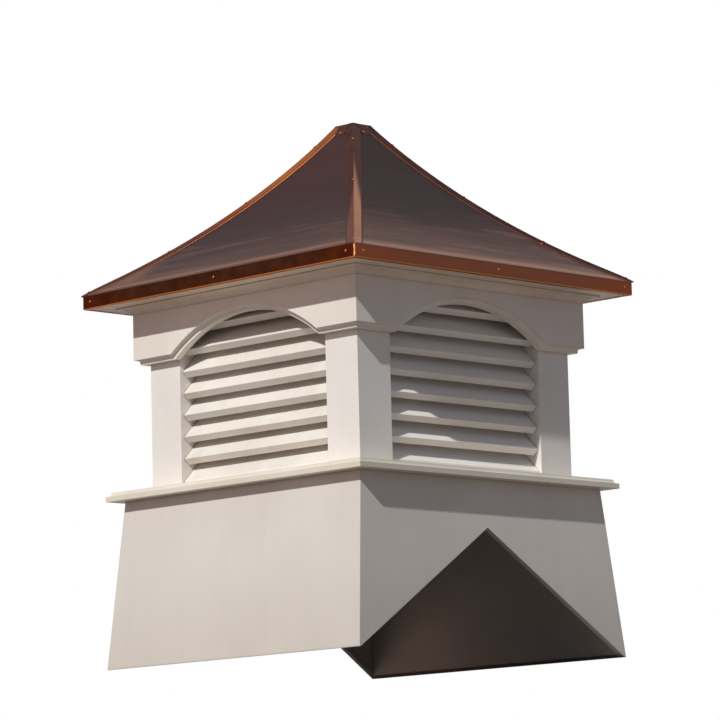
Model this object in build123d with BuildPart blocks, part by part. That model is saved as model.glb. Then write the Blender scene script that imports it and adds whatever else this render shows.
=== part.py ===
from build123d import *

import os
from math import atan2, cos, degrees, hypot, radians, sin, sqrt, tan

# A louvred barn cupola, built of white cellular PVC boards under a bell-curved copper roof, with a
# saddle cut through its foot along X.  Millimetres, +Z up, and the origin is on the vertical centre
# line at the lowest edge of the skirt.  Every "half" is measured from the centre line.

# Skirt: four flared boards, with the saddle cut through their foot at one pitch
foot_half_x = 375.6
foot_half_y = 389.8
skirt_top_half = 352.3
skirt_height = 352.9
skirt_board = 12.7
roof_pitch = 33.2
toe_land = 3.0

# Ledge: the moulded water table that caps the skirt and carries the louvre stage
ledge_half = 381.5
ledge_thickness = 26.0
ledge_lip_height = 10.8
ledge_lip_width = 5.0
ledge_cove_height = 8.5
ledge_cove_width = 4.0

# Louvre stage: corner boards with fixed blades between them
stage_height = 384.7
post_face = 91.6
post_board = 19.0
louvre_recess = 7.5
louvre_depth = 50.0
louvre_pitch = 45.8
louvre_blade = 15.5
louvre_slope = 45.0
louvre_count = 7
top_blade_depth = 17.0
sill_nose = 8.0
stile_board = 12.0
louvre_fit = 0.3

# Frieze: a thick board with a segmental arch, edged by a moulding of step, cove and lip
frieze_board = 25.4
frieze_height = 112.0
arch_rise = 75.0
trim_width = 10.1
trim_step = 4.6
trim_fillet = 0.6
trim_cove = 5.4

# Bed mould: the cove that fills the corner of frieze and soffit
bed_mould_height = 15.6
bed_mould_width = 25.6
bed_mould_fillet = 2.6

# Eave: a flat soffit board edged by a folded copper strip, which overhangs the frieze
soffit_board = 9.0
eave_half = 411.7
eave_overhang = 75.3
fascia_return = 10.0
fascia_corner = 4.0
copper_gauge = 1.0
sheet_fit = 0.3

# Roof: four concave sheets, one arc in section from the drip edge to the flat apex
drip = 1.7
eave_rise = 27.4
roof_rise = 349.9
roof_top_half = 23.9
roof_sag = 28.2
hip_flange = 16.8
hip_crest = 4.5
apex_skirt = 20.0
apex_tab_half = 14.0

# Levels up the cupola
ledge_top = skirt_height + ledge_thickness
soffit_level = ledge_top + stage_height
frieze_bottom = soffit_level - frieze_height
eave_level = soffit_level + eave_rise
roof_top = eave_level + roof_rise

# Widths that follow from the eave: the frieze stands back under it and the stage behind the frieze
drip_half = eave_half + drip
frieze_half = eave_half - eave_overhang
stage_half = frieze_half - frieze_board
opening_half = stage_half - post_face
louvre_face = stage_half - louvre_recess
shaft_half = louvre_face - louvre_depth

# The arch is a circle through the two upper corners of the louvred opening
arch_radius = (opening_half**2 + arch_rise**2) / (2 * arch_rise)
arch_centre = frieze_bottom + arch_rise - arch_radius

# The roof's arc hangs below the chord from its flat top to the drip edge by roof_sag
roof_run = drip_half - roof_top_half
roof_chord = hypot(roof_run, roof_rise)
roof_radius = (roof_chord**2 / 4 + roof_sag**2) / (2 * roof_sag)
roof_reach = (roof_radius - roof_sag) / roof_chord
roof_centre_y = (drip_half + roof_top_half) / 2 + roof_reach * roof_rise
roof_centre_z = (eave_level + roof_top) / 2 + roof_reach * roof_run
steep_angle = degrees(atan2(roof_top - roof_centre_z, roof_top_half - roof_centre_y))
eave_angle = degrees(atan2(eave_level - roof_centre_z, drip_half - roof_centre_y))

# At the apex, a millimetre down along the sheets falls by apex_fall and runs outwards by apex_run
apex_fall = -cos(radians(steep_angle))
apex_run = -sin(radians(steep_angle))

# Copper layers, as heights square to the surface of the roof sheets.  The hip caps' crests stand
# hip_crest higher, straight up, and the apex cap lies where its corners just cover their upper ends
hip_lift = sheet_fit
tab_lift = hip_lift + copper_gauge + sheet_fit
apex_lift = hip_lift + apex_run * (hip_crest + sheet_fit + copper_gauge * apex_run)

reach = 2 * max(foot_half_x, foot_half_y, ledge_half, drip_half, roof_top)
sides = {"back": 0, "left": 90, "front": 180, "right": 270}
corners = {"back_right": 0, "back_left": 90, "front_left": 180, "front_right": 270}

os.makedirs("parts", exist_ok=True)


def save(piece, name):
    """Label one finished piece and write it."""
    piece.part.label = name
    export_step(piece.part, f"parts/{name}.step")


def save_turned(piece, places, kind):
    """Write one copy of a piece for each place round the square plan."""
    for place, turn in places.items():
        with BuildPart() as turned:
            add(piece.part, rotation=(0, 0, turn))
        save(turned, f"{place}_{kind}")


def roof_height(half, lift=0.0):
    """Level of the roof's curve at a half-width, lifted square to the sheet."""
    return roof_centre_z - sqrt((roof_radius - lift) ** 2 - (half - roof_centre_y) ** 2)


def roof_point(angle, lift=0.0):
    """Half-width and level of the point at an angle round the roof's arc."""
    turn = radians(angle)
    return (
        roof_centre_y + (roof_radius - lift) * cos(turn),
        roof_centre_z + (roof_radius - lift) * sin(turn),
    )


def sketch_roof_band(lift, gauge):
    """Sketch a sheet of one gauge that lies parallel to the roof's curve, at one lift."""
    sweep = eave_angle - steep_angle
    centre = (roof_centre_y, roof_centre_z)
    with BuildLine() as band:
        lower = CenterArc(centre, roof_radius - lift, steep_angle, sweep)
        upper = CenterArc(centre, roof_radius - lift - gauge, steep_angle, sweep)
        Line(lower @ 0, upper @ 0)
        Line(lower @ 1, upper @ 1)
    make_face(band.edges())


# The quarter of the plan behind the centre.  Cutting a long piece by it mitres both its ends
with BuildPart() as back_quarter:
    with BuildSketch():
        with BuildLine():
            Polyline((0, 0), (reach, reach), (-reach, reach), close=True)
        make_face()
    extrude(amount=reach, both=True)

# Skirt walls.  Each is lofted between two trapeziums that share the mitre lines of its neighbours,
# and the saddle's prism is cut out of all four: a V in the side walls, a bevel under front and back
lean_x = (foot_half_x - skirt_top_half) / skirt_height
lean_y = (foot_half_y - skirt_top_half) / skirt_height
board_x = skirt_board * hypot(1, lean_x)
board_y = skirt_board * hypot(1, lean_y)
saddle_half = foot_half_y - toe_land
saddle_rise = saddle_half * tan(radians(roof_pitch))

for places, ends in (
    ({"back": 0, "front": 180}, ((-1, 1), (1, 1))),
    ({"right": 0, "left": 180}, ((1, -1), (1, 1))),
):
    (start_x, start_y), (end_x, end_y) = ends
    with BuildPart() as base_wall:
        for level, half_x, half_y in (
            (0, foot_half_x, foot_half_y),
            (skirt_height, skirt_top_half, skirt_top_half),
        ):
            inner_x = half_x - board_x
            inner_y = half_y - board_y
            with BuildSketch(Plane.XY.offset(level)):
                with BuildLine():
                    Polyline(
                        (start_x * half_x, start_y * half_y),
                        (end_x * half_x, end_y * half_y),
                        (end_x * inner_x, end_y * inner_y),
                        (start_x * inner_x, start_y * inner_y),
                        close=True,
                    )
                make_face()
        loft(ruled=True)
        with BuildSketch(Plane.YZ):
            with BuildLine():
                Polyline((-saddle_half, 0), (0, saddle_rise), (saddle_half, 0), close=True)
            make_face()
        extrude(amount=reach, both=True, mode=Mode.SUBTRACT)
    save_turned(base_wall, places, "base_wall")

# Ledge, in section: square lip, small cove above it, then a weathered top that rises to the stage
with BuildPart() as ledge:
    cove_foot = ledge_half - ledge_lip_width
    lip_top = skirt_height + ledge_lip_height
    with BuildSketch(Plane.YZ):
        with BuildLine():
            Polyline(
                (cove_foot - ledge_cove_width, lip_top + ledge_cove_height),
                (stage_half, ledge_top),
                (shaft_half, ledge_top),
                (shaft_half, skirt_height),
                (ledge_half, skirt_height),
                (ledge_half, lip_top),
                (cove_foot, lip_top),
            )
            RadiusArc(
                (cove_foot, lip_top),
                (cove_foot - ledge_cove_width, lip_top + ledge_cove_height),
                ledge_cove_height + ledge_cove_width,
            )
        make_face()
    extrude(amount=reach, both=True)
    add(back_quarter.part, mode=Mode.INTERSECT)
save_turned(ledge, sides, "ledge")

# Corner posts: two boards in an L, standing on the ledge up to the soffit
with BuildPart() as corner_post:
    with BuildSketch(Plane.XY.offset(ledge_top)):
        with Locations((stage_half, stage_half)):
            Rectangle(post_face, post_face, align=(Align.MAX, Align.MAX))
        with Locations((stage_half - post_board, stage_half - post_board)):
            Rectangle(post_face, post_face, align=(Align.MAX, Align.MAX), mode=Mode.SUBTRACT)
    extrude(amount=stage_height)
save_turned(corner_post, corners, "corner_post")

# Louvre panel: blades that slope down and out at one pitch, a sill of the same slope, and a stile
# at each end, flush with the edge of the corner board in front of it
slope = radians(louvre_slope)
nose_drop = louvre_blade * cos(slope)
nose_back = louvre_blade * sin(slope)

with BuildPart() as louvre_panel:
    with BuildSketch(Plane.YZ) as blade_sections:
        for step in range(1, louvre_count + 1):
            depth = top_blade_depth if step == louvre_count else louvre_depth
            nose = ledge_top + sill_nose + step * louvre_pitch
            rear = louvre_face - depth
            with BuildLine():
                Polyline(
                    (louvre_face, nose),
                    (louvre_face - nose_back, nose - nose_drop),
                    (rear, nose - nose_drop + (depth - nose_back) * tan(slope)),
                    (rear, nose + depth * tan(slope)),
                    close=True,
                )
            make_face()
        with BuildLine():
            sill_under = louvre_blade / cos(slope)
            Polyline(
                (louvre_face, ledge_top),
                (louvre_face, ledge_top + sill_nose),
                (shaft_half, ledge_top + sill_nose + louvre_depth * tan(slope)),
                (shaft_half, ledge_top + sill_nose + louvre_depth * tan(slope) - sill_under),
                (louvre_face - (sill_under - sill_nose) / tan(slope), ledge_top),
                close=True,
            )
        make_face()
    extrude(amount=opening_half - louvre_fit, both=True)
    with BuildSketch(Plane.XY.offset(ledge_top)):
        with Locations((opening_half, shaft_half)):
            Rectangle(
                stile_board, stage_half - post_board - shaft_half, align=(Align.MIN, Align.MIN)
            )
        mirror(about=Plane.YZ)
    extrude(amount=stage_height)
save_turned(louvre_panel, sides, "louvre_panel")

# Frieze board: planted on the corner posts, with the arch cut through it
with BuildPart() as arched_board:
    with BuildSketch(Plane.XZ.offset(-frieze_half)):
        with Locations((0, frieze_bottom)):
            Rectangle(2 * frieze_half, frieze_height, align=(Align.CENTER, Align.MIN))
        with Locations((0, arch_centre)):
            Circle(arch_radius, mode=Mode.SUBTRACT)
    extrude(amount=frieze_board)
    add(back_quarter.part, mode=Mode.INTERSECT)
save_turned(arched_board, sides, "frieze_board")

# Arch trim.  The moulding's section runs straight under the board and round the arch.  Both runs are
# cut from one thick slab, the straight one by its section and the round one by a turned plug, so that
# they meet in a true mitre where the arch springs
trim_face = frieze_half - trim_step
lip_face = trim_face - trim_cove


def sketch_trim_section(arris, far):
    """Sketch the moulding's section, from its lip on to a far level.

    arris is the level of the frieze board's lower edge, which the section steps back from.
    """
    cove_top = arris - trim_fillet
    with BuildLine() as moulded:
        Polyline(
            (lip_face, cove_top - trim_cove),
            (lip_face, arris - trim_width),
            (stage_half, arris - trim_width),
            (stage_half, far),
            (trim_face, far),
            (trim_face, cove_top),
        )
        RadiusArc((trim_face, cove_top), (lip_face, cove_top - trim_cove), -trim_cove)
    make_face(moulded.edges())


with BuildPart() as arch_trim:
    with BuildSketch(Plane.YZ):
        sketch_trim_section(frieze_bottom, frieze_bottom + arch_rise)
    extrude(amount=reach, both=True)
    with BuildSketch(Plane.YZ):
        sketch_trim_section(arch_centre + arch_radius, arch_centre)
    revolve(axis=Axis((0, 0, arch_centre), (0, 1, 0)), mode=Mode.SUBTRACT)
    with BuildSketch(Plane.XZ.offset(-frieze_half)):
        with Locations((0, frieze_bottom)):
            Rectangle(2 * reach, frieze_height, align=(Align.CENTER, Align.MIN))
        with Locations((0, arch_centre)):
            Circle(arch_radius, mode=Mode.SUBTRACT)
    extrude(amount=frieze_board, mode=Mode.SUBTRACT)
    add(back_quarter.part, mode=Mode.INTERSECT)
save_turned(arch_trim, sides, "arch_trim")

# Bed mould, in section: a cove between two narrow fillets
with BuildPart() as bed_mould:
    mould_top = soffit_level
    mould_foot = soffit_level - bed_mould_height
    mould_edge = frieze_half + bed_mould_width
    with BuildSketch(Plane.YZ):
        with BuildLine():
            Polyline(
                (frieze_half + bed_mould_fillet, mould_foot),
                (frieze_half, mould_foot),
                (frieze_half, mould_top),
                (mould_edge, mould_top),
                (mould_edge, mould_top - bed_mould_fillet),
            )
            RadiusArc(
                (mould_edge, mould_top - bed_mould_fillet),
                (frieze_half + bed_mould_fillet, mould_foot),
                -bed_mould_width,
            )
        make_face()
    extrude(amount=reach, both=True)
    add(back_quarter.part, mode=Mode.INTERSECT)
save_turned(bed_mould, sides, "bed_mould")

# Soffit boards: from the shaft out to the copper strip
with BuildPart() as soffit:
    with BuildSketch(Plane.YZ):
        with Locations((shaft_half, soffit_level)):
            Rectangle(
                eave_half - copper_gauge - sheet_fit - shaft_half, soffit_board, align=(Align.MIN, Align.MIN)
            )
    extrude(amount=reach, both=True)
    add(back_quarter.part, mode=Mode.INTERSECT)
save_turned(soffit, sides, "soffit")

# Eave fascia: a copper strip with a rounded corner, turned in under the soffit
fascia_top = roof_height(eave_half, -copper_gauge) - sheet_fit
with BuildPart() as eave_fascia:
    for level, width, height in (
        (soffit_level - copper_gauge, copper_gauge, fascia_top - soffit_level + copper_gauge),
        (soffit_level - copper_gauge, fascia_return, copper_gauge),
    ):
        with BuildSketch(Plane.XY.offset(level)):
            RectangleRounded(2 * eave_half, 2 * eave_half, fascia_corner)
            Rectangle(2 * (eave_half - width), 2 * (eave_half - width), mode=Mode.SUBTRACT)
        extrude(amount=height)
    add(back_quarter.part, mode=Mode.INTERSECT)
save_turned(eave_fascia, sides, "eave_fascia")

# Roof panels: one concave sheet a side, cut at the hips
with BuildPart() as roof_panel:
    with BuildSketch(Plane.YZ):
        sketch_roof_band(-copper_gauge, copper_gauge)
    extrude(amount=reach, both=True)
    add(back_quarter.part, mode=Mode.INTERSECT)
save_turned(roof_panel, sides, "roof_panel")

# Apex cap: a flat square over the ends of the hip caps, with its skirts slit and cut back at the
# corners to four tabs, which are pressed in between the hips
skirt_angle = steep_angle + degrees(apex_skirt / apex_fall / roof_radius)
apex_plate = roof_point(steep_angle, apex_lift)[1]

with BuildPart() as apex_cap:
    for outward, mode in ((copper_gauge, Mode.ADD), (0, Mode.SUBTRACT)):
        for angle, lift in ((steep_angle, apex_lift), (skirt_angle, tab_lift)):
            half, level = roof_point(angle, lift + outward)
            with BuildSketch(Plane.XY.offset(level)):
                Rectangle(2 * half, 2 * half)
        loft(ruled=True, mode=mode)
    with BuildSketch(Plane.XY.offset(apex_plate)):
        corner_spacing = 2 * apex_tab_half + reach
        with GridLocations(corner_spacing, corner_spacing, 2, 2):
            Rectangle(reach, reach)
    extrude(amount=-reach, mode=Mode.SUBTRACT)
save(apex_cap, "apex_cap")

# Hip caps.  The hip's upright plane cuts a band over the back panel in one curved face.  Raised to the
# crest and drawn down to the far edge of the flange, that face makes one leg, which is then mirrored
hip_plane = Plane(origin=(0, 0, 0), z_dir=(1, -1, 0))
with BuildPart() as hip_band:
    with BuildSketch(Plane.YZ):
        sketch_roof_band(hip_lift, copper_gauge)
    extrude(amount=reach)

with BuildPart() as hip_cap:
    flange_reach = Vector(-hip_flange * sqrt(2), 0, -hip_crest)
    hip_section = section(hip_band.part, section_by=hip_plane)
    raised = hip_section.moved(Location((0, 0, hip_crest)))
    extrude(raised.faces(), amount=flange_reach.length, dir=flange_reach)
    split(bisect_by=Plane.XY.offset(apex_plate - sheet_fit), keep=Keep.BOTTOM)
    mirror(about=hip_plane)
save_turned(hip_cap, corners, "hip_cap")
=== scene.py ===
from math import atan2, cos, hypot, pi, radians, sin, sqrt

import bpy
import numpy as np
from mathutils import Matrix, Vector


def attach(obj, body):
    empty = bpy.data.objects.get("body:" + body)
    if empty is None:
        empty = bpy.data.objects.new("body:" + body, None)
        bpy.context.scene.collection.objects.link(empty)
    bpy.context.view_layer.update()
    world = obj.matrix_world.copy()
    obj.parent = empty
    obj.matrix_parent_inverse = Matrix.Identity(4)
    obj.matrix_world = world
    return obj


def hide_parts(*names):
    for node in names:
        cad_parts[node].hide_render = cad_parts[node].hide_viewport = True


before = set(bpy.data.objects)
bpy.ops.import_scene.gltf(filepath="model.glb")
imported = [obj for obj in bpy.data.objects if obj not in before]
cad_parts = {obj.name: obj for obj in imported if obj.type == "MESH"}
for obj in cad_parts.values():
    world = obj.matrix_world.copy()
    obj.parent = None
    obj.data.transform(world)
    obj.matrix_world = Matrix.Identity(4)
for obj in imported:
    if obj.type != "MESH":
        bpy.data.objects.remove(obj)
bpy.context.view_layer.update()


# Skirt walls.  Four flared boards of cellular PVC, mitred and glued at the corners, with a V cut in
# the foot of two of them.  The sheet is warm white right through, and only its skin weathers.


class Tone:
    """One output socket of a finish, so that shader maths reads as plain arithmetic."""

    def __init__(self, finish, socket):
        self.finish = finish
        self.socket = socket

    def maths(self, operation, first, second):
        return self.finish.node("Math", {"operation": operation}, {0: first, 1: second})

    def larger(self, other):
        return self.maths("MAXIMUM", self, other)

    def __abs__(self):
        return self.maths("ABSOLUTE", self, 0.0)

    def __add__(self, other):
        return self.maths("ADD", self, other)

    def __sub__(self, other):
        return self.maths("SUBTRACT", self, other)

    def __rsub__(self, other):
        return self.maths("SUBTRACT", other, self)

    def __mul__(self, other):
        return self.maths("MULTIPLY", self, other)

    def __truediv__(self, other):
        return self.maths("DIVIDE", self, other)

    __radd__ = __add__
    __rmul__ = __mul__


class Finish:
    """The nodes of one material, or of the air round the cupola, which grow one at a time."""

    def __init__(self, name, kept_in=bpy.data.materials):
        self.owner = kept_in.new(name)
        self.owner.use_nodes = True
        self.tree = self.owner.node_tree
        self.tree.nodes.clear()

    def node(self, kind, settings, sockets, out=0):
        """Add a node of one type: its settings first, then the values or links of its sockets."""
        made = self.tree.nodes.new("ShaderNode" + kind)
        for setting, value in settings.items():
            if setting == "stops":
                ramp = made.color_ramp
                while len(ramp.elements) < len(value):
                    ramp.elements.new(1.0)
                for element, (position, colour) in zip(ramp.elements, value):
                    element.position = position
                    element.color = colour
            else:
                setattr(made, setting, value)
        for socket, value in sockets.items():
            if isinstance(value, Tone):
                self.tree.links.new(value.socket, made.inputs[socket])
            else:
                made.inputs[socket].default_value = value
        return Tone(self, made.outputs[out]) if made.outputs else None

    def place(self):
        """Where the shaded point is on the cupola, in metres."""
        return self.node("TexCoord", {}, {}, "Object")

    def part(self, vector, axis):
        """One part of a vector: X, Y or Z."""
        return self.node("SeparateXYZ", {}, {0: vector}, axis)

    def scaled(self, vector, factors):
        """A vector with each of its three parts scaled by itself."""
        return self.node("VectorMath", {"operation": "MULTIPLY"}, {0: vector, 1: factors})

    def cloud(self, vector, scale, detail=3.0):
        """Soft noise from about 0.3 to 0.7 at one scale, in turns a metre."""
        return self.node("TexNoise", {}, {"Vector": vector, "Scale": scale, "Detail": detail})

    def step(self, value, low, high):
        """0 below one value and 1 above another, with a smooth rise between."""
        return self.node(
            "MapRange",
            {"interpolation_type": "SMOOTHSTEP"},
            {"Value": value, "From Min": low, "From Max": high},
        )

    def blend(self, mask, first, second):
        """One colour where the mask is 0 and the other where it is 1."""
        return self.node("Mix", {"data_type": "RGBA"}, {0: mask, 6: first, 7: second}, 2)

    def close(self, **sockets):
        """End the finish in one Principled shader and hand back the material."""
        named = {socket.replace("_", " "): value for socket, value in sockets.items()}
        shader = self.node("BsdfPrincipled", {}, named)
        self.node("OutputMaterial", {}, {"Surface": shader})
        return self.owner


def paint(red, green, blue):
    """A colour as seen, 0 to 255, as the linear colour that a shader takes."""
    seen = np.array([red, green, blue]) / 255
    return (*np.where(seen < 0.04045, seen / 12.92, ((seen + 0.055) / 1.055) ** 2.4), 1.0)


# Dirt with painted shade: the brown that creases and inner corners darken towards.
crease_dirt_and_shade = paint(148, 126, 106)
# A pale white for the arrises, partly wear and partly a painted highlight.
worn_highlight_white = paint(246, 242, 236)


def board_finish(name, clean, film, arris, splash=0.0):
    """Moulded PVC: a film with a faint mottle, thin rain runs and dust on what faces up, dirt and
    painted shade in the creases where boards meet, found by ambient occlusion, and arrises that are
    lightened as wear and a painted highlight.  arris is the edges' radius and splash the height up
    to which splashed rain soils the foot, both in metres."""
    skin = Finish(name)
    place = skin.place()
    mottle = skin.step(skin.cloud(place, 5.0), 0.35, 0.65)
    runs = skin.step(skin.cloud(skin.scaled(place, (1.0, 1.0, 0.12)), 26.0, 4.0), 0.45, 0.75)
    specks = skin.step(skin.cloud(place, 420.0, 1.0), 0.72, 0.8)
    # Painted shade: ambient occlusion darkens creases and inner corners towards that brown, as dirt and
    # shade.
    openness = skin.node("AmbientOcclusion", {"samples": 6}, {"Distance": 0.009}, "AO")
    creases = 1 - skin.step(openness, 0.3, 0.85)
    rounded = skin.node("Bevel", {"samples": 4}, {"Radius": arris})
    facing = skin.node("NewGeometry", {}, {}, "Normal")
    bend = skin.node("VectorMath", {"operation": "DOT_PRODUCT"}, {0: rounded, 1: facing}, "Value")
    # Arrises are lightened towards the pale white: partly wear, partly a painted highlight.
    rubbed_and_highlit = skin.step(1 - bend, 0.01, 0.2)
    peel = skin.cloud(place, 800.0, 2.0) * 0.5 + skin.cloud(place, 110.0, 2.0)
    dust = skin.step(skin.part(facing, "Z"), 0.35, 0.75)
    soiled = mottle * 0.3 + runs * 0.14 + specks * 0.15 + dust * 0.3
    if splash:
        splashed = 1 - skin.step(skin.part(place, "Z") + mottle * 0.05, 0.0, splash)
        soiled = soiled + splashed * 0.7
    colour = skin.blend(creases * 0.55, skin.blend(soiled, clean, film), crease_dirt_and_shade)
    return skin.close(
        Base_Color=skin.blend(rubbed_and_highlit * 0.35, colour, worn_highlight_white),
        Roughness=0.46 + soiled * 0.2 - rubbed_and_highlit * 0.08,
        Normal=skin.node(
            "Bump", {}, {"Strength": 0.2, "Distance": 0.0003, "Height": peel, "Normal": rounded}
        ),
    )


def dress(places, kind, material):
    """Give the CAD nodes of one kind their finish."""
    for place in places:
        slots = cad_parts[f"{place}_{kind}"].data.materials
        slots.clear()
        slots.append(material)


# The quarter turns that bring a piece of the back, or of the back right corner, to its own place
sides = {"back": 0, "left": 1, "front": 2, "right": 3}
corners = {"back_right": 0, "back_left": 1, "front_left": 2, "front_right": 3}

skirt_board = board_finish(
    "skirt_board", paint(221, 213, 205), paint(203, 194, 184), arris=0.0012, splash=0.28
)
dress(sides, "base_wall", skirt_board)


# Ledge.  A moulded water table, planed from thick PVC and glued down on the skirt, whose top sheds
# the rain away from the louvre stage.
ledge_moulding = board_finish(
    "ledge_moulding", paint(229, 219, 205), paint(207, 193, 175), arris=0.001
)
dress(sides, "ledge", ledge_moulding)


# Corner posts.  Two PVC boards glued in an L at each corner, which stand on the ledge and reach up
# to the soffit.
post_board = board_finish("post_board", paint(238, 232, 226), paint(222, 213, 204), arris=0.001)
dress(corners, "corner_post", post_board)


# Louvre panels.  Fixed PVC blades let into a stile at each end, with a sill of the same slope under
# them.  Those of the left and right sides are painted lighter than the front and back, which paints
# in more light on them.
louvre_blade = board_finish("louvre_blade", paint(245, 240, 232), paint(207, 196, 186), arris=0.001)
# Painted light: the side blades' paint is lighter, to stand in for brighter light on those sides.
brightened_side_blade = board_finish("brightened_side_blade", paint(251, 245, 238), paint(242, 233, 224), arris=0.001)
dress(("front", "back"), "louvre_panel", louvre_blade)
dress(("right", "left"), "louvre_panel", brightened_side_blade)


# Frieze.  A thick board with an arch sawn in it, and a moulding of step, cove and lip that is bent
# round the arch and mitred to the straight runs where the arch springs.
frieze_board = board_finish("frieze_board", paint(237, 228, 219), paint(217, 203, 192), arris=0.001)
dress(sides, "frieze_board", frieze_board)
trim_moulding = board_finish(
    "trim_moulding", paint(238, 231, 221), paint(216, 205, 190), arris=0.0006
)
dress(sides, "arch_trim", trim_moulding)


# Eave boards.  A cove moulding fills the corner between the frieze and the soffit, whose flat PVC
# boards are mitred at the corners and close the eave from below.
# The eave boards' paint is darker and warmer than the other boards', which paints in the shade under the
# eave.
eave_board = board_finish("eave_board", paint(230, 213, 196), paint(204, 181, 160), arris=0.0008)
dress(sides, "bed_mould", eave_board)
dress(sides, "soffit", eave_board)


# Eave fascia.  A copper strip round the eave, bent at each corner in one soft fold and turned in
# under the soffit.  The brown skin carries a painted highlight of bright copper in a line up each
# corner fold and along the lower fold, and the front and back strips are painted darker than the
# left and right, as painted reflection.


def hang(name, points, faces, finish, stands_for=None):
    """Make one piece of points and faces, turn its faces outwards and hang it on the frame."""
    mesh = bpy.data.meshes.new(name)
    corner = points[[face[:3] for face in faces]]
    inwards = np.einsum("ij,ij->", corner[:, 0], np.cross(corner[:, 1], corner[:, 2])) < 0
    mesh.from_pydata(points, [], [face[::-1] if inwards else face for face in faces])
    mesh.polygons.foreach_set("use_smooth", [True] * len(faces))
    mesh.set_sharp_from_angle(angle=radians(32))
    mesh.materials.append(finish)
    piece = bpy.data.objects.new(name, mesh)
    bpy.context.scene.collection.objects.link(piece)
    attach(piece, "root")
    if stands_for:
        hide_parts(stands_for)


def quarter_turned(points, quarters):
    """The same points turned about the upright centre line by whole quarter turns."""
    c, s = round(cos(quarters * pi / 2)), round(sin(quarters * pi / 2))
    return points @ np.array([[c, s, 0], [-s, c, 0], [0, 0, 1]])


def hang_four(places, kind, form, finishes, stands_for):
    """Hang one turned copy of a form, its points and faces, at each place round the square plan."""
    points, faces = form
    for place, quarters in places.items():
        turned = quarter_turned(points, quarters)
        hang(f"{place}_{kind}", turned, faces, finishes[place], f"{place}_{stands_for}")


def sheet_metal(outer, inner):
    """Points and faces of a bent sheet: an outer grid of points, an inner grid of as many, and one
    strip of faces that joins the rims of the two."""
    rows, columns = outer.shape[:2]
    count = rows * columns
    spot = np.arange(count).reshape(rows, columns)
    face = np.stack([spot[:-1, :-1], spot[1:, :-1], spot[1:, 1:], spot[:-1, 1:]], -1).reshape(-1, 4)
    rim = np.concatenate([spot[0, :-1], spot[:-1, -1], spot[-1, :0:-1], spot[:0:-1, 0]])
    after = np.roll(rim, -1)
    band = np.stack([rim, after, after + count, rim + count], -1)
    points = np.concatenate([outer.reshape(-1, 3), inner.reshape(-1, 3)])
    return points, [*face.tolist(), *(face[:, ::-1] + count).tolist(), *band.tolist()]


# Bright copper, the colour of bare metal and of the painted highlights along folds and crests.
bright_copper = paint(206, 122, 66)
corner_highlight_copper = paint(244, 164, 100)
edge_tint = paint(188, 180, 178)


def copper_skin(copper, place, brown, bright, bared_and_highlit):
    """End a finish as brown copper, a little cloudy and scratched, and bright where its last argument
    is 1, which stands for bare metal and for painted highlights along folds and crests.
    """
    tarnish = copper.step(copper.cloud(place, 22.0, 5.0), 0.32, 0.68)
    scratches = copper.cloud(copper.scaled(place, (1.0, 1.0, 5.0)), 120.0, 3.0)
    worn = tarnish * 0.04 + copper.step(scratches, 0.6, 0.8) * 0.07
    grain = copper.cloud(place, 900.0, 2.0) * 0.4 + copper.cloud(place, 45.0, 2.0)
    return copper.close(
        Base_Color=copper.blend(worn.larger(bared_and_highlit), brown, bright),
        Metallic=1.0,
        Roughness=0.34 + tarnish * 0.12 - bared_and_highlit * 0.06,
        Specular_Tint=edge_tint,
        Normal=copper.node("Bump", {}, {"Strength": 0.12, "Distance": 0.0004, "Height": grain}),
    )


eave_half, fascia_foot, fascia_top = 0.4117, 0.7626, 0.7914
gauge, fascia_return, corner_radius, fold_radius = 0.001, 0.010, 0.004, 0.0018


def fascia_finish(name, brown, reddened, folded):
    """A painted highlight in a wavering line up the four corner bends and, as strongly as folded says,
    along the lower fold.  The brown reddens towards the bends."""
    copper = Finish(name)
    place = copper.place()
    waver = copper.cloud(place, 160.0, 2.0) - 0.5
    lower = 1 - copper.step(copper.part(place, "Z"), fascia_foot + 0.0008, fascia_foot + 0.0026)
    round_bend = abs(copper.part(place, "X")) + abs(copper.part(place, "Y"))
    # Painted highlight: a bright line up each rounded corner bend.
    corner = copper.step(round_bend + waver * 0.004, 2 * eave_half - 0.0032, 2 * eave_half - 0.0024)
    near_bend = copper.step(round_bend + waver * 0.06, 2 * eave_half - 0.2, 2 * eave_half)
    toned = copper.blend(corner * 0.9, copper.blend(near_bend, brown, reddened), corner_highlight_copper)
    return copper_skin(copper, place, toned, bright_copper, lower * folded)


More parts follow.
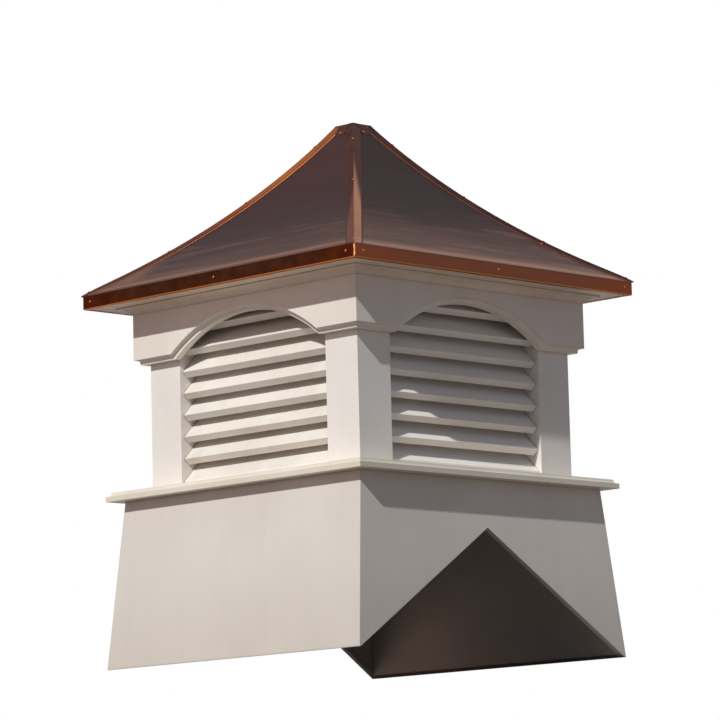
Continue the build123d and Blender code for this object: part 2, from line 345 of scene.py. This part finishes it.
def fascia_side():
    """The back side's strip.  Down the profile: the face, a quarter-circle fold, then the return; an
    inset is how far a point stands in from the face.  Along the strip: an eighth of a circle, the
    straight run, and the next eighth, whose radius shrinks with the inset and ends in a mitre.  The
    run has low dents that die out at the corners."""
    face_levels = [fascia_top, 0.782, 0.772]
    return_insets = [0.0035, 0.006, fascia_return]
    fold = np.linspace(0, pi / 2, 6)
    swing = np.linspace(pi / 4, pi / 2, 7)[:, None]
    run = np.linspace(1, -1, 41)[1:-1, None]
    bend_start = eave_half - corner_radius
    skins = []
    for depth in (0.0, gauge):
        radius = fold_radius - depth
        inset = np.concatenate([[depth] * 3, fold_radius - radius * np.cos(fold), return_insets])
        folded = fascia_foot + fold_radius - radius * np.sin(fold)
        height = np.concatenate([face_levels, folded, [fascia_foot + depth] * 3])
        bend = np.maximum(corner_radius - inset, 0)
        mitre = np.maximum(inset - corner_radius, 0)
        arc_x = bend_start + bend * np.cos(swing) - mitre * (2 - swing / (pi / 4))
        arc_y = bend_start + bend * np.sin(swing) - mitre
        run_x, run_y = np.broadcast_arrays(run * bend_start, eave_half - inset)
        dent = 0.00018 * np.sin(run_x * 31 + 0.7) * np.sin(run_x * 13) * (1 - run**2)
        x = np.concatenate([arc_x, run_x, -arc_x[::-1]])
        y = np.concatenate([arc_y, run_y - abs(dent), arc_y[::-1]])
        skins.append(np.stack([x, y, np.broadcast_to(height, x.shape)], -1))
    return sheet_metal(*skins)


# Painted reflection: the front and back strips are darker and the left and right lighter, and the painted
# highlight on the lower fold is stronger on the darker ones.
dark_fascia = fascia_finish("dark_fascia", paint(48, 25, 18), paint(58, 22, 11), folded=0.9)
light_fascia = fascia_finish("light_fascia", paint(95, 56, 43), paint(104, 54, 38), folded=0.55)
fascia_reflection_tones = {
    "back": dark_fascia,
    "left": light_fascia,
    "front": dark_fascia,
    "right": light_fascia,
}
hang_four(sides, "fascia_strip", fascia_side(), fascia_reflection_tones, "eave_fascia")


# Roof sheets.  Four copper sheets, pressed to one hollow curve from the flat top to a drip over the
# fascia.  Each lies a little unevenly between its nailed edges.  Its brown carries painted
# reflection: it lightens towards the eave to a painted highlight at the drip, with soft brown
# streaking, and the front and back sheets are painted redder than the left and right.
top_half, top_level, drip_half, drip_level, roof_sag = 0.0239, 1.1409, 0.4134, 0.791, 0.0282
roof_run, roof_rise = drip_half - top_half, top_level - drip_level
roof_chord = hypot(roof_run, roof_rise)
roof_radius = (roof_chord**2 / 4 + roof_sag**2) / (2 * roof_sag)
centre_out = (drip_half + top_half) / 2 + (roof_radius - roof_sag) / roof_chord * roof_rise
centre_up = (drip_level + top_level) / 2 + (roof_radius - roof_sag) / roof_chord * roof_run
steep_angle = atan2(top_level - centre_up, top_half - centre_out)
eave_angle = atan2(drip_level - centre_up, drip_half - centre_out)


def roof_curve(angle, lift):
    """Half-width and height of the roof's arc at an angle, lifted square to the sheet."""
    radius = roof_radius - lift
    return centre_out + radius * np.cos(angle), centre_up + radius * np.sin(angle)


def roof_sheet():
    """The back sheet: down the slope along the arc, across it from hip to hip in shares of the
    half-width, with low waves square to the sheet that die out at all four edges."""
    down = np.linspace(0, 1, 61)[:, None]
    across = np.linspace(-1, 1, 61)[None]
    angle = steep_angle + down * (eave_angle - steep_angle)
    x = across * roof_curve(angle, 0)[0]
    slope = down * roof_chord
    waves = np.sin(14 * x + 9 * slope + 1.0) * np.sin(21 * slope - 5 * x)
    waves = waves + 0.6 * np.sin(33 * slope + 11 * x)
    wave = 0.00045 * waves * (1 - across**2) * np.sin(pi * down) ** 0.5
    skins = []
    for lift in (0.0, -gauge):
        out, height = roof_curve(angle, lift + wave)
        skins.append(np.stack([across * out, out, height], -1))
    return sheet_metal(*skins)


# Tan for the smudges of painted reflection and for the front left corner.
streak_and_corner_tan = paint(138, 112, 100)


def sheet_finish(name, smeared, stops):
    """Brown all down the sheet, lighter towards the eave, in tones by the distance out from the centre
    line as a share of the drip's; the lightening and the bright band near the drip are painted
    reflection and a painted highlight.  Soft level streaking, also painted reflection, pushes the tones
    up and down the slope, the second argument is how strongly tan smudges of painted reflection show
    on its lower half, and the sheet turns tan towards the front left corner."""
    copper = Finish(name)
    place = copper.place()
    half = abs(copper.part(place, "X")).larger(abs(copper.part(place, "Y")))
    down = copper.node("CombineXYZ", {}, {2: half * 45.0})
    level = copper.node("VectorMath", {"operation": "ADD"}, {0: copper.scaled(place, (3, 3, 3)), 1: down})
    streaks = copper.cloud(level, 1.0, 4.0)
    broad = copper.cloud(place, 4.0, 2.0) - 0.5
    above_drip = 1 - copper.step(half, 0.36, 0.395)
    smears = copper.step(copper.cloud(level, 1.7, 3.0), 0.52, 0.68) * copper.step(half, 0.2, 0.31)
    off_corner = copper.part(place, "X").larger(copper.part(place, "Y")) + broad * 0.08
    tan_corner = 1 - copper.step(off_corner, -0.33, -0.25)
    shifted = half / drip_half + (streaks - 0.5) * 0.32 * above_drip + broad * 0.1 * above_drip
    dents = copper.cloud(place, 40.0, 3.0)
    return copper.close(
        Base_Color=copper.blend(
            (smears * smeared).larger(tan_corner * above_drip * 0.9),
            copper.node("ValToRGB", {"stops": stops}, {0: shifted}),
            streak_and_corner_tan,
        ),
        Metallic=1.0,
        Roughness=0.42 + streaks * 0.12,
        Specular_Tint=edge_tint,
        Normal=copper.node("Bump", {}, {"Strength": 0.1, "Distance": 0.0004, "Height": dents}),
    )


# Painted reflection: the front and back sheets are redder and the left and right greyer.
red_sheet = sheet_finish("red_sheet", 0.2, [
    (0.15, paint(78, 59, 59)),
    (0.5, paint(75, 61, 63)),
    (0.62, paint(75, 64, 67)),
    (0.74, paint(82, 68, 70)),
    (0.9, paint(94, 77, 74)),
    (0.94, paint(116, 91, 84)),
    (0.966, paint(152, 118, 104)),
    (0.982, paint(108, 78, 68)),
])
grey_sheet = sheet_finish("grey_sheet", 0.4, [
    (0.15, paint(66, 59, 60)),
    (0.5, paint(68, 62, 65)),
    (0.62, paint(78, 68, 69)),
    (0.74, paint(93, 79, 77)),
    (0.9, paint(104, 86, 83)),
    (0.945, paint(130, 104, 94)),
    (0.974, paint(160, 130, 118)),
    (0.99, paint(136, 109, 101)),
])
roof_reflection_tones = {"back": red_sheet, "left": grey_sheet, "front": red_sheet, "right": grey_sheet}
hang_four(sides, "roof_sheet", roof_sheet(), roof_reflection_tones, "roof_panel")


# Hip caps.  A copper strip bent along each hip, with both edges hemmed under.  The bend is sharper
# than the hip, so its crest stands proud of the sheets, and rivets go down through it.
hip_flange, hip_lift, hip_rise, hip_crest, hip_head = 0.0168, 0.0003, 0.0013, 0.0045, 1.1426
hip_drip, bend_rounding, bend_half = drip_half + 0.0006, 0.11, 0.0014


def crest_height(down):
    """How far the bend stands above the hip at a share of the way down.  It is pressed flat at the
    eave."""
    return hip_crest * (1 - down**30)


def hip_strip():
    """The strip on the back right hip.  A point's place across it is its distance from the hip in
    plan.  Down the slope it follows the roof's arc, at a lift that rises over the doubled hem and
    rounds down at the edge, and it is raised straight up in a low gable, whose bend a bell curve
    rounds off.  Each line down the strip begins where it comes clear of the apex cap and is cut
    plumb at the drip."""
    off_hip = [0, 0.6, 1.3, 2.5, 5, 8, 11.2, 12.8, 14.2, 15.6, 16.3, 16.7, 16.8]
    hem_rise = [0, 0, 0, 0, 0, 0, 0, 0.2, 0.4, 0.4, 0.3, 0.1, -0.3]
    place = np.array(off_hip) * 0.001
    lift = np.array(hem_rise) * 0.001 + hip_rise
    place, lift = np.concatenate([-place[:0:-1], place]), np.concatenate([lift[:0:-1], lift])
    rounding = bend_rounding * np.exp(-((place / bend_half) ** 2))
    gable = 1 - np.abs(place) / hip_flange - rounding
    down = np.linspace(0, 1, 61)[:, None]
    skins = []
    for sheet_lift in (lift, np.maximum(lift - gauge, hip_lift)):
        head = (hip_head - hip_crest * gable - centre_up) / (roof_radius - sheet_lift)
        head_angle = np.maximum(-pi - np.arcsin(head), steep_angle)
        out, height = roof_curve(head_angle + down * (eave_angle - head_angle), sheet_lift)
        out = np.minimum(out, hip_drip)
        near = out - sqrt(2) * np.abs(place)
        sideways = np.where(place > 0, out, near), np.where(place > 0, near, out)
        skins.append(np.stack([*sideways, height + gable * crest_height(down)], -1))
    return sheet_metal(*skins)


def hip_finish(name, slope_browns, side_browns, hemmed, rubbed_and_highlit):
    """A strip's browns, patina with painted reflection, each a pair of the tone towards the apex and the
    tone towards the eave: first of the flange on a front or back slope, then of the one on a left or
    right slope, where the lower tone runs up beside the crest.  hemmed is the tone of its doubled
    edges, and the last argument how bright its upper run is, as wear and a painted highlight.  A
    faint painted highlight runs along the crest."""
    copper = Finish(name)
    place = copper.place()
    height = copper.part(place, "Z") + (copper.cloud(place, 7.0, 2.0) - 0.5) * 0.06
    off_hip = (abs(copper.part(place, "X")) - abs(copper.part(place, "Y"))) / sqrt(2)
    beside = copper.step(off_hip, -0.0006, 0.0006)
    low = 1 - copper.step(height + abs(off_hip) * 7 - beside * 0.07, 0.92, 1.0)
    brown = copper.blend(beside, copper.blend(low, *slope_browns), copper.blend(low, *side_browns))
    # Painted highlight: a faint bright line along the crest.
    crest = 1 - copper.step(abs(off_hip), 0.0004, 0.002)
    hem = copper.step(abs(off_hip), 0.0138, 0.0148)
    upper_run = copper.step(height, 0.84, 1.08)
    patchy = copper.step(copper.cloud(place, 9.0, 2.0), 0.3, 0.7) * 0.5 + 0.5
    bared_and_highlit = (crest * 0.08).larger(upper_run * rubbed_and_highlit * (1 - hem * 0.7)) * patchy
    return copper_skin(copper, place, copper.blend(hem, brown, hemmed), bright_copper, bared_and_highlit)


dark_brown, plain_brown, front_left_brown = paint(60, 49, 51), paint(80, 54, 50), paint(84, 54, 48)
# The strips' tones are partly patina and partly painted reflection, which differs by hip and by slope,
# and the front left one's upper run carries a painted highlight.
hip_reflection_tones = {
    "back_right": hip_finish(
        "dark_hip",
        (dark_brown, paint(66, 54, 57)),
        (dark_brown, dark_brown),
        hemmed=paint(98, 60, 50),
        rubbed_and_highlit=0.0,
    ),
    "back_left": hip_finish(
        "plain_hip",
        (plain_brown, paint(96, 70, 64)),
        (plain_brown, paint(104, 80, 72)),
        hemmed=paint(92, 62, 54),
        rubbed_and_highlit=0.05,
    ),
    "front_left": hip_finish(
        "highlit_hip",
        (front_left_brown, paint(94, 66, 61)),
        (front_left_brown, paint(104, 80, 72)),
        hemmed=paint(90, 53, 38),
        rubbed_and_highlit=0.62,
    ),
    "front_right": hip_finish(
        "tan_hip",
        (paint(75, 55, 55), paint(116, 81, 73)),
        (paint(78, 62, 66), paint(173, 131, 108)),
        hemmed=paint(84, 60, 56),
        rubbed_and_highlit=0.0,
    ),
}
hang_four(corners, "hip_strip", hip_strip(), hip_reflection_tones, "hip_cap")


# Apex cap.  A square of copper laid over the heads of the hip caps.  Its sides are slit near the
# corners, and the tab between two slits is pressed down between the hips and held by one rivet.
plate_lift, plate_edge, plate_gauge = 0.0044, 0.0006, 0.00055
tab_half, tab_drop, tab_lift = 0.014, 0.0195, 0.0009
crest_share, lip_clearance, lip_fall = 0.585, 0.0006, 1.12


def ringed(rings):
    """Points and faces of a solid made of closed rings, each joined to the next, with a flat face
    over the first and the last."""
    rows, around = rings.shape[:2]
    spot = np.arange(rows * around).reshape(rows, around)
    beside = np.roll(spot, -1, 1)
    wall = np.stack([spot[:-1], beside[:-1], beside[1:], spot[1:]], -1).reshape(-1, 4)
    return rings.reshape(-1, 3), [*wall.tolist(), spot[0, ::-1].tolist(), spot[-1].tolist()]


def down_roof(drop):
    """The angle on the roof's arc that lies a drop below its top."""
    return steep_angle + drop * roof_chord / roof_rise / roof_radius


def apex_rings(depth):
    """The rings of one skin, from the middle of the flat top out over its edge and down the sides.
    A point lies down its side by a share of that side's drop, at a lift that closes in on what is
    under it: a tab bends down at once and then follows the roof's arc to the sheet, and beyond the
    slits a short lip comes down on the hip cap's gable, of which crest_share stands square to the
    roof here.  The plate's edge is drawn in and lowered a little, which softens it."""
    tab = np.linspace(1, -1, 9) * tab_half
    corner = np.linspace(1, 0.02, 5)
    on_tab = np.concatenate([corner * 0, tab**0, corner * 0])[:-1]
    plate_half = roof_curve(steep_angle, plate_lift)[0]
    beyond = corner * (plate_half - tab_half) + tab_half
    off_edge = plate_half - np.concatenate([beyond, tab * 0, beyond[::-1]])[:-1]
    gable = 1 - off_edge / hip_flange / sqrt(2)
    over_gable = hip_rise + crest_share * hip_crest * gable + lip_clearance
    lip_lift = np.minimum(over_gable, plate_lift)
    foot_lift = np.where(on_tab, tab_lift, lip_lift)
    drop = np.where(on_tab, tab_drop, plate_edge + lip_fall * (plate_lift - lip_lift))
    shares = np.array([0.0, 0.04, 0.11, 0.3, 0.6, 0.8, 1.0])
    tab_shares = np.array([0.0, 0.15, 0.4, 0.45, 0.56, 0.72, 1.0])
    rings = []
    for share, tab_share in zip(shares, tab_shares):
        fallen = np.where(on_tab, tab_share, share)
        lift = plate_lift - fallen * (plate_lift - foot_lift) - depth
        half, level = roof_curve(down_roof(drop * share), lift)
        beyond = corner * (half[0] - tab_half) + tab_half
        along = np.concatenate([beyond, tab, -beyond[::-1]])[:-1]
        side = np.stack([along, half, level], -1)
        rings.append(np.concatenate([quarter_turned(side, quarters) for quarters in range(4)]))
    edge = rings[0] * (1, 1, 0)
    flat = [edge * inset + (0, 0, rings[0][0, 2]) for inset in (0.15, 0.965)]
    rings[0] = rings[0] * (0.985, 0.985, 1) - (0, 0, 0.00012)
    return flat + rings


# The cap is painted redder on its front and back faces and greyer on its left and right, the same painted
# reflection as on the sheets below.
apex_copper = Finish("apex_copper")
apex_place = apex_copper.place()
apex_off_hip = abs(apex_copper.part(apex_place, "X")) - abs(apex_copper.part(apex_place, "Y"))
apex_brown = apex_copper.blend(
    apex_copper.step(apex_off_hip, -0.0006, 0.0006), paint(78, 56, 56), paint(65, 56, 58)
)
apex_metal = copper_skin(apex_copper, apex_place, apex_brown, bright_copper, 0.0)
apex_points, apex_faces = ringed(np.array(apex_rings(plate_gauge) + apex_rings(0.0)[::-1]))
hang("apex_square", apex_points, apex_faces, apex_metal, stands_for="apex_cap")


# Rivets.  Copper blind rivets hold the fascia, the hip caps and the apex cap; each has a low domed
# head with the stub of its pin in the middle.


def rivet_heads(spots):
    """Domed heads, each a profile of radius and height turned about its own axis, sunk a little
    into what it holds.  spots are rows of a place and an outward axis; the turn begins square to
    the axis and to a slant that no axis shares."""
    radius = np.array([2.7, 2.9, 2.8, 2.4, 1.8, 1.4, 1.2, 1.1, 1.0, 0.6]) * 0.001
    height = np.array([-0.6, 0.1, 0.5, 1.0, 1.3, 1.3, 1.0, 1.0, 1.2, 1.3]) * 0.001
    swing = np.linspace(0, 2 * pi, 17)[:-1]
    slant = (0.3, 0.5, 0.8)
    points, faces = [], []
    for place, axis in spots:
        axis = np.array(axis) / np.linalg.norm(axis)
        first = np.cross(axis, slant)
        first /= np.linalg.norm(first)
        ring = np.outer(np.cos(swing), first) + np.outer(np.sin(swing), np.cross(axis, first))
        head = np.array(place) + radius[:, None, None] * ring + height[:, None, None] * axis
        head_points, head_faces = ringed(head)
        faces += [[spot + len(points) * len(head_points) for spot in face] for face in head_faces]
        points.append(head_points)
    return np.concatenate(points), faces


def on_roof(angle, lift):
    """Half-width and height of a spot on the roof's arc, and its axis square to the sheet there."""
    half, height = roof_curve(angle, lift)
    return half, height, centre_out - half, centre_up - height


def at_half(half, lift):
    """The angle on the roof's lifted arc at a half-width."""
    return -np.arccos((half - centre_out) / (roof_radius - lift))


rivet = Finish("rivet_copper")
rivet_place = rivet.place()
rivet_patches = rivet.step(rivet.cloud(rivet_place, 300.0, 2.0), 0.35, 0.65)
rivet_copper = copper_skin(
    rivet, rivet_place, paint(118, 60, 38), paint(204, 126, 78), 0.25 + rivet_patches * 0.4
)

fascia_rivet_level, fascia_rivet_out = 0.778, 0.387
tab_rivet_drop, tab_rivet_lift, tab_rivet_shift = 0.0148, 0.0019, 0.007
crest_rivets_out, crest_rivet_sunk = (0.059, 0.164, 0.281, 0.402), 0.0004
flange_rivet_out, flange_rivet_off_hip, flange_rivet_lift = 0.286, 0.0185, 0.002


def tab_spot(shift):
    """The rivet of the apex cap's tab on the back side, a shift along from the tab's middle."""
    half, height, out, up = on_roof(down_roof(tab_rivet_drop), tab_rivet_lift)
    return (shift, half, height), (0, out, up)


def crest_spot(rivet_out):
    """A rivet on the back right hip, at a half-width of the roof, sunk a little into the bend."""
    angle = at_half(rivet_out, hip_rise)
    half, height, out, up = on_roof(angle, hip_rise)
    crest = crest_height((angle - steep_angle) / (eave_angle - steep_angle))
    on_bend = height + crest * (1 - bend_rounding) - crest_rivet_sunk
    return (half, half, on_bend), (out / 2, out / 2, up)


def flange_spot(rivet_out):
    """A rivet beside the back right hip, on the right-hand slope."""
    half, height, out, up = on_roof(at_half(rivet_out, hip_rise), flange_rivet_lift)
    return (half, half - flange_rivet_off_hip, height), (out, 0, up)


def hang_rivets(places, kind, spots):
    """Hang the rivet heads of each place as one piece."""
    for place, quarters in places.items():
        heads, head_faces = rivet_heads(spots[place])
        hang(f"{place}_{kind}", quarter_turned(heads, quarters), head_faces, rivet_copper)


# The right tab's rivet is off its middle, the front right hip lacks one and the back right has one more
fascia_places = (-fascia_rivet_out, 0, fascia_rivet_out)
fascia_spots = [((along, eave_half, fascia_rivet_level), (0, 1, 0)) for along in fascia_places]
side_spots = {side: [*fascia_spots, tab_spot(0.0)] for side in sides}
side_spots["right"] = [*fascia_spots, tab_spot(tab_rivet_shift)]
hang_rivets(sides, "rivets", side_spots)

upper, middle, lower, lowest = [crest_spot(rivet_out) for rivet_out in crest_rivets_out]
corner_spots = {corner: [upper, middle, lower, lowest] for corner in corners}
corner_spots["back_right"].append(flange_spot(flange_rivet_out))
corner_spots["front_right"].remove(lower)
hang_rivets(corners, "hip_rivets", corner_spots)


# The studio.  A pale floor, clear from below because the camera looks up from under it, an even sky,
# one plain sun and two soft fill lamps.
floor_reach = 14.0


def ray(surface, kind):
    """1 for rays of one kind and 0 for others."""
    return surface.node("LightPath", {}, {}, f"Is {kind} Ray")


floor_corners = np.array([(-1, -1, 0), (1, -1, 0), (1, 1, 0), (-1, 1, 0)]) * floor_reach
floor_mesh = bpy.data.meshes.new("floor")
floor_mesh.from_pydata(floor_corners, [], [(0, 1, 2, 3)])
floor = bpy.data.objects.new("floor", floor_mesh)
bpy.context.scene.collection.objects.link(floor)

ground = Finish("pale_floor")
looked_at = ray(ground, "Camera")
bounced, pale = (0.208, 0.166, 0.146, 1), (0.86, 0.86, 0.85, 1)
floor_tone = ground.blend(looked_at + ray(ground, "Glossy"), bounced, pale)
solid = ground.node("BsdfDiffuse", {}, {"Color": floor_tone})
clear = ground.node("BsdfTransparent", {}, {})
from_below = ground.node("NewGeometry", {}, {}, "Backfacing") * looked_at
surface = ground.node("MixShader", {}, {0: from_below, 1: solid, 2: clear})
ground.node("OutputMaterial", {}, {"Surface": surface})
floor_mesh.materials.append(ground.owner)

air = Finish("studio", bpy.data.worlds)
bpy.context.scene.world = air.owner
backdrop = ray(air, "Camera") + ray(air, "Glossy") + ray(air, "Transmission")
sky = air.node("Background", {}, {"Color": (0.71, 0.805, 1.02, 1), "Strength": 0.206})
white = air.node("Background", {}, {"Color": (1, 1, 1, 1), "Strength": 1.0})
air.node("OutputWorld", {}, {"Surface": air.node("MixShader", {}, {0: backdrop, 1: sky, 2: white})})

for name, towards, strength, colour, softness in (
    ("key", (0.281, -1.0, 0.854), 2.94, (0.983, 1.0, 0.98), 1.2),
    ("front_fill", (-0.6, -1.0, 0.15), 0.22, (1.0, 0.55, 0.36), 30.0),
    ("back_fill", (-0.8, 0.75, 0.12), 0.8, (0.97, 0.98, 1.0), 20.0),
):
    lamp = bpy.data.lights.new(name, "SUN")
    lamp.energy = strength
    lamp.color = colour
    lamp.angle = radians(softness)
    holder = bpy.data.objects.new(name, lamp)
    holder.matrix_world = Vector(towards).to_track_quat("Z", "Y").to_matrix().to_4x4()
    bpy.context.scene.collection.objects.link(holder)

# The camera stands where the photograph was taken, below the cupola's foot and rolled a little
azimuth, elevation, roll = radians(45.338), radians(-8.157), radians(-1.4985)
station = Vector((5.74310, -5.67299, -0.51667))
back = Vector((sin(azimuth) * cos(elevation), -cos(azimuth) * cos(elevation), sin(elevation)))
level_right = Vector((0, 0, 1)).cross(back).normalized()
level_up = back.cross(level_right)
right = cos(roll) * level_right + sin(roll) * level_up
up = cos(roll) * level_up - sin(roll) * level_right
camera = bpy.data.cameras.new("camera")
camera.sensor_width = 36.0
camera.lens = 193.208
camera.clip_start = 0.1
camera.clip_end = 100.0
view = bpy.data.objects.new("camera", camera)
view.matrix_world = Matrix.Translation(station) @ Matrix((right, up, back)).transposed().to_4x4()
bpy.context.scene.collection.objects.link(view)
bpy.context.scene.camera = view
bpy.context.scene.view_settings.view_transform = "Standard"
